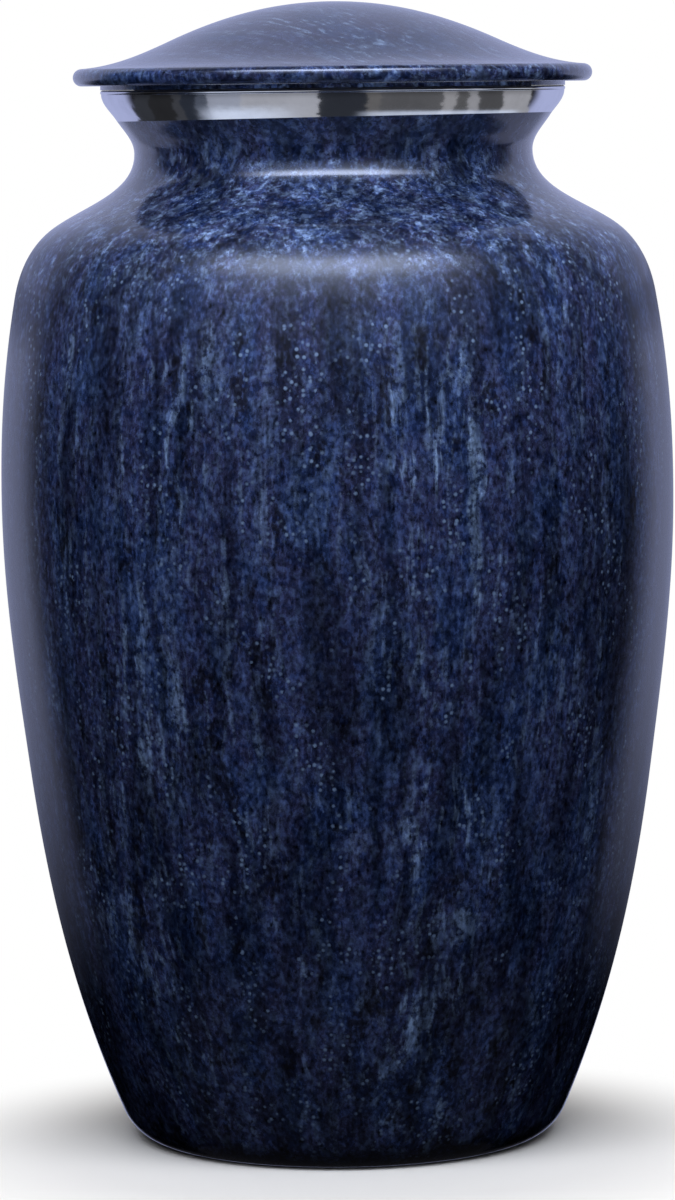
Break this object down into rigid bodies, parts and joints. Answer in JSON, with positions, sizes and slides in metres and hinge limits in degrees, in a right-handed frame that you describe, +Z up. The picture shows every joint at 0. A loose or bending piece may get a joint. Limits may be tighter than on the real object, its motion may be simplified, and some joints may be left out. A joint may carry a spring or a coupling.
{
  "type": "funeral urn",
  "caption": "Round vase-shaped cremation urn with a wide shoulder, narrow throat, flared mouth with a bright band and a domed lift-off lid.",
  "frame": {"origin": "middle of the underside, on the plane that the foot ring stands on", "axes": "+Z up along the urn's turned axis"},
  "size_m": [0.157, 0.157, 0.2655],
  "materials": {
    "lacquer": "navy mottled lacquer, semi-gloss",
    "bright_metal": "mirror polished"
  },
  "bodies": {
    "root": {"urn_body": "lacquer", "lid": "lacquer"}
  },
  "joints": []
}
